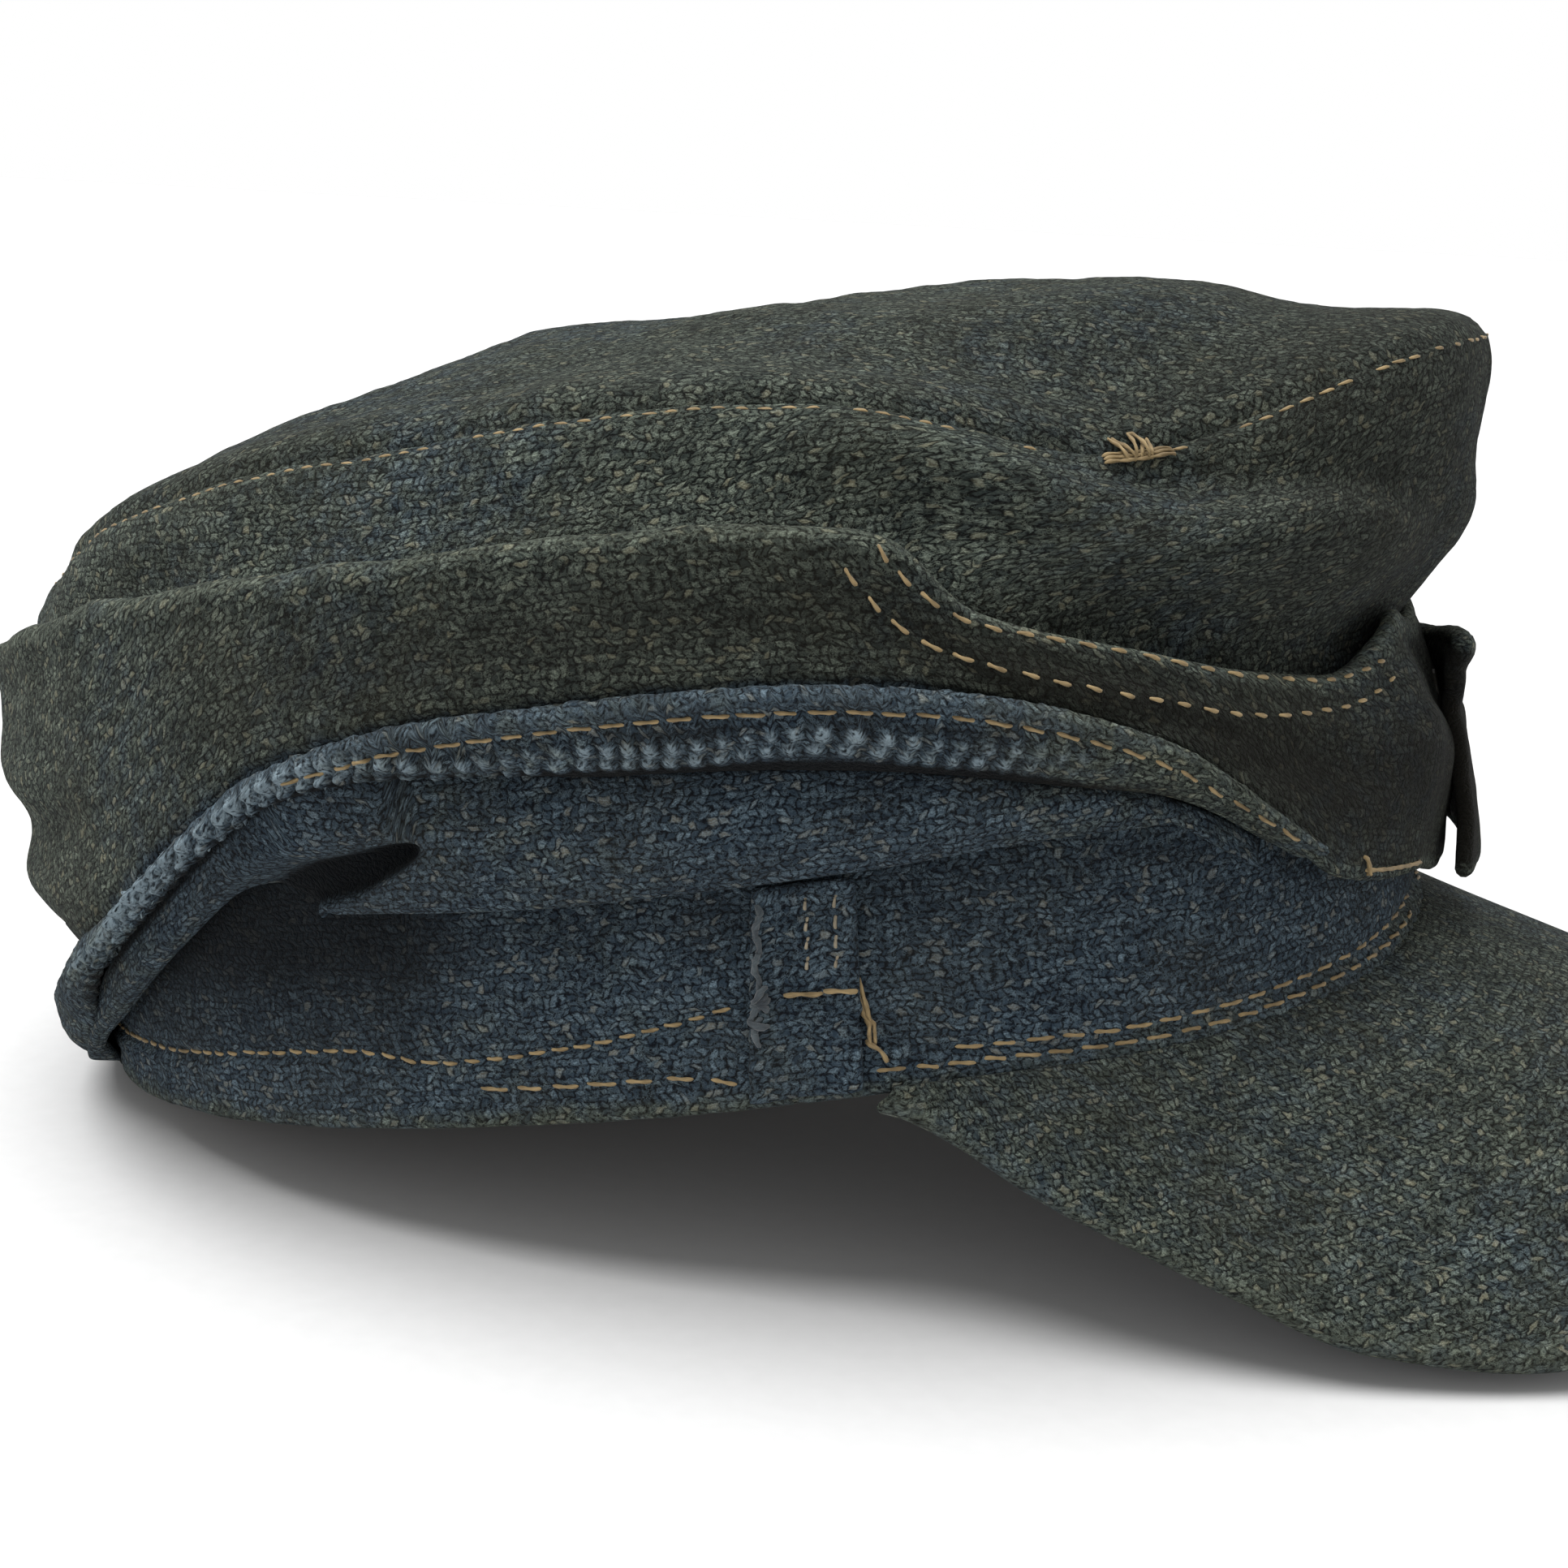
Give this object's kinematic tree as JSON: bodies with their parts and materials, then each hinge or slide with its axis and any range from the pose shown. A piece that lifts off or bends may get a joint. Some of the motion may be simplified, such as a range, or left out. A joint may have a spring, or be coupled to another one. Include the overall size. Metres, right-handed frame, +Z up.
{
  "type": "soft field cap",
  "caption": "Soft wool field cap with a stiffened peak and a turned-up skirt; its left front tab and both ear flaps swing out.",
  "frame": {"origin": "centre of the bounding box on the table that the standing cap rests on", "axes": "+X towards the front (the peak), +Y towards the wearer's left, +Z up; the cap stands on the rear of its band and both sides of its peak, so its head opening is tipped back by 12 degrees"},
  "size_m": [0.2794, 0.1858, 0.1313],
  "materials": {
    "faded_wool": "faded olive-grey wool cloth, coarse felted weave",
    "unfaded_wool": "blue-grey wool cloth where the skirt covers it",
    "lining_twill": "plain twill lining",
    "sweatband_leather": "matt leather, worn",
    "peak_board": "stiffening board, hidden",
    "thread": "tan sewing thread",
    "stud_metal": "dark press studs"
  },
  "bodies": {
    "cap": {"base_band_front": "unfaded_wool", "base_band_rear": "unfaded_wool", "crown_bar_tack": "thread", "crown_side_left": "faded_wool", "crown_side_right": "faded_wool", "crown_top_panel": "faded_wool", "front_bar_tack_left": "thread", "front_bar_tack_right": "thread", "hem_left": "faded_wool", "hem_right": "faded_wool", "inner_roll_left": "unfaded_wool", "inner_roll_right": "unfaded_wool", "lining_side_left": "lining_twill", "lining_side_right": "lining_twill", "lining_top": "lining_twill", "peak_board": "peak_board", "peak_top_cloth": "faded_wool", "peak_under_cloth": "unfaded_wool", "side_bar_tack_left": "thread", "side_bar_tack_right": "thread", "side_seam_strip_left": "unfaded_wool", "side_seam_strip_right": "unfaded_wool", "skirt_front_left": "faded_wool", "skirt_front_right": "faded_wool", "skirt_rear": "faded_wool", "stud_post_lower": "stud_metal", "stud_post_upper": "stud_metal", "sweatband": "sweatband_leather"},
    "front_tab": {"left_front_tab": "faded_wool", "stud_socket_lower": "stud_metal", "stud_socket_upper": "stud_metal"},
    "right_ear_flap": {"ear_flap_right": "faded_wool"},
    "left_ear_flap": {"ear_flap_left": "faded_wool"}
  },
  "joints": [
    {"name": "front_tab_swing", "type": "hinge", "parent": "cap", "child": "front_tab", "pos_m": [0.06835, 0.04337, 0.06755], "axis": [-0.2085, 0, 0.978], "range_deg": [-1.5, 60], "stiffness_Nm_per_rad": 0.01},
    {"name": "right_ear_flap_peel", "type": "hinge", "parent": "cap", "child": "right_ear_flap", "pos_m": [-0.0343, -0.091, 0.07327], "axis": [0.978, 0, 0.2085], "range_deg": [0, 35], "stiffness_Nm_per_rad": 0.02},
    {"name": "left_ear_flap_peel", "type": "hinge", "parent": "cap", "child": "left_ear_flap", "pos_m": [-0.0343, 0.091, 0.07327], "axis": [-0.978, 0, -0.2085], "range_deg": [0, 35], "stiffness_Nm_per_rad": 0.02}
  ]
}
